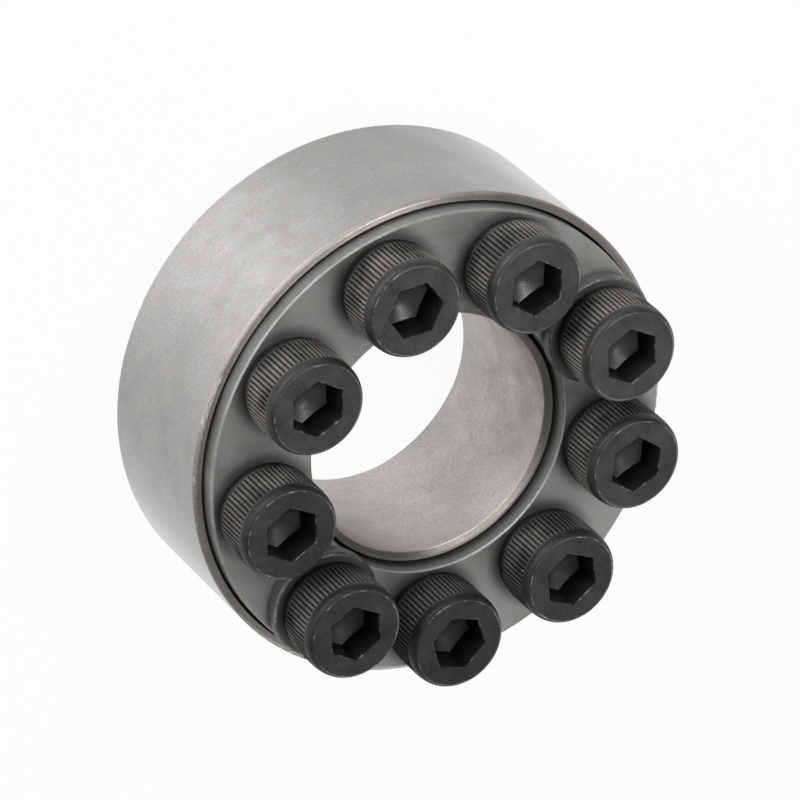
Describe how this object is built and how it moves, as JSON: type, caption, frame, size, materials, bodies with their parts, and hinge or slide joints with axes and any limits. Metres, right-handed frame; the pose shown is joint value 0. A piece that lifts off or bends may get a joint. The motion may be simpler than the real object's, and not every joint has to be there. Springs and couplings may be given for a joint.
{
  "type": "shaft locking assembly",
  "caption": "Keyless shaft and hub locking assembly: tapered clamping rings drawn together by a circle of socket head cap screws.",
  "frame": {"origin": "on the bore axis, in the plane of the rear thrust ring's flat outer face", "axes": "+Z along the bore axis towards the screw heads; +Y towards the outer ring's slit and the screw midway between the two washers"},
  "size_m": [0.05, 0.05, 0.0275],
  "materials": {
    "ground_steel": "satin, oiled",
    "turned_steel": "satin, oiled",
    "black_oxide_screw": "black oxide",
    "black_oxide_washer": "black oxide"
  },
  "bodies": {
    "rear_thrust": {"rear_thrust_ring": "turned_steel"},
    "front_thrust": {"front_thrust_ring": "turned_steel", "washer_1": "black_oxide_washer", "washer_2": "black_oxide_washer"},
    "outer": {"outer_ring": "ground_steel"},
    "inner": {"inner_ring": "ground_steel"},
    "screw_1": {"screw_1": "black_oxide_screw"},
    "screw_2": {"screw_2": "black_oxide_screw"},
    "screw_3": {"screw_3": "black_oxide_screw"},
    "screw_4": {"screw_4": "black_oxide_screw"},
    "screw_5": {"screw_5": "black_oxide_screw"},
    "screw_6": {"screw_6": "black_oxide_screw"},
    "screw_7": {"screw_7": "black_oxide_screw"},
    "screw_8": {"screw_8": "black_oxide_screw"},
    "screw_9": {"screw_9": "black_oxide_screw"}
  },
  "joints": [
    {"name": "front_thrust_slide", "type": "slide", "parent": "rear_thrust", "child": "front_thrust", "axis": [0, 0, 1], "range_m": [0, 0.002]},
    {"name": "outer_ring_slide", "type": "slide", "parent": "rear_thrust", "child": "outer", "axis": [0, 0, 1], "range_m": [0, 0.001]},
    {"name": "inner_ring_slide", "type": "slide", "parent": "rear_thrust", "child": "inner", "axis": [0, 0, 1], "range_m": [0, 0.001]},
    {"name": "screw_1_turn", "type": "hinge", "parent": "front_thrust", "child": "screw_1", "pos_m": [-0.0064, -0.01757, 0.02], "axis": [0, 0, 1], "range_deg": [0, 720]},
    {"name": "screw_2_turn", "type": "hinge", "parent": "front_thrust", "child": "screw_2", "pos_m": [-0.01619, -0.00935, 0.02], "axis": [0, 0, 1], "range_deg": [0, 720]},
    {"name": "screw_3_turn", "type": "hinge", "parent": "front_thrust", "child": "screw_3", "pos_m": [-0.01842, 0.00325, 0.02], "axis": [0, 0, 1], "range_deg": [0, 720]},
    {"name": "screw_4_turn", "type": "hinge", "parent": "front_thrust", "child": "screw_4", "pos_m": [-0.01202, 0.01433, 0.02], "axis": [0, 0, 1], "range_deg": [0, 720]},
    {"name": "screw_5_turn", "type": "hinge", "parent": "front_thrust", "child": "screw_5", "pos_m": [0, 0.0187, 0.02], "axis": [0, 0, 1], "range_deg": [0, 720]},
    {"name": "screw_6_turn", "type": "hinge", "parent": "front_thrust", "child": "screw_6", "pos_m": [0.01202, 0.01433, 0.02], "axis": [0, 0, 1], "range_deg": [0, 720]},
    {"name": "screw_7_turn", "type": "hinge", "parent": "front_thrust", "child": "screw_7", "pos_m": [0.01842, 0.00325, 0.02], "axis": [0, 0, 1], "range_deg": [0, 720]},
    {"name": "screw_8_turn", "type": "hinge", "parent": "front_thrust", "child": "screw_8", "pos_m": [0.01619, -0.00935, 0.02], "axis": [0, 0, 1], "range_deg": [0, 720]},
    {"name": "screw_9_turn", "type": "hinge", "parent": "front_thrust", "child": "screw_9", "pos_m": [0.0064, -0.01757, 0.02], "axis": [0, 0, 1], "range_deg": [0, 720]}
  ],
  "couplings": [
    {"joint": "outer_ring_slide", "follows": "front_thrust_slide", "ratio": 0.5},
    {"joint": "inner_ring_slide", "follows": "front_thrust_slide", "ratio": 0.5},
    {"joint": "screw_1_turn", "follows": "front_thrust_slide", "rad_per_m": 6283.2},
    {"joint": "screw_2_turn", "follows": "front_thrust_slide", "rad_per_m": 6283.2},
    {"joint": "screw_3_turn", "follows": "front_thrust_slide", "rad_per_m": 6283.2},
    {"joint": "screw_4_turn", "follows": "front_thrust_slide", "rad_per_m": 6283.2},
    {"joint": "screw_5_turn", "follows": "front_thrust_slide", "rad_per_m": 6283.2},
    {"joint": "screw_6_turn", "follows": "front_thrust_slide", "rad_per_m": 6283.2},
    {"joint": "screw_7_turn", "follows": "front_thrust_slide", "rad_per_m": 6283.2},
    {"joint": "screw_8_turn", "follows": "front_thrust_slide", "rad_per_m": 6283.2},
    {"joint": "screw_9_turn", "follows": "front_thrust_slide", "rad_per_m": 6283.2}
  ]
}
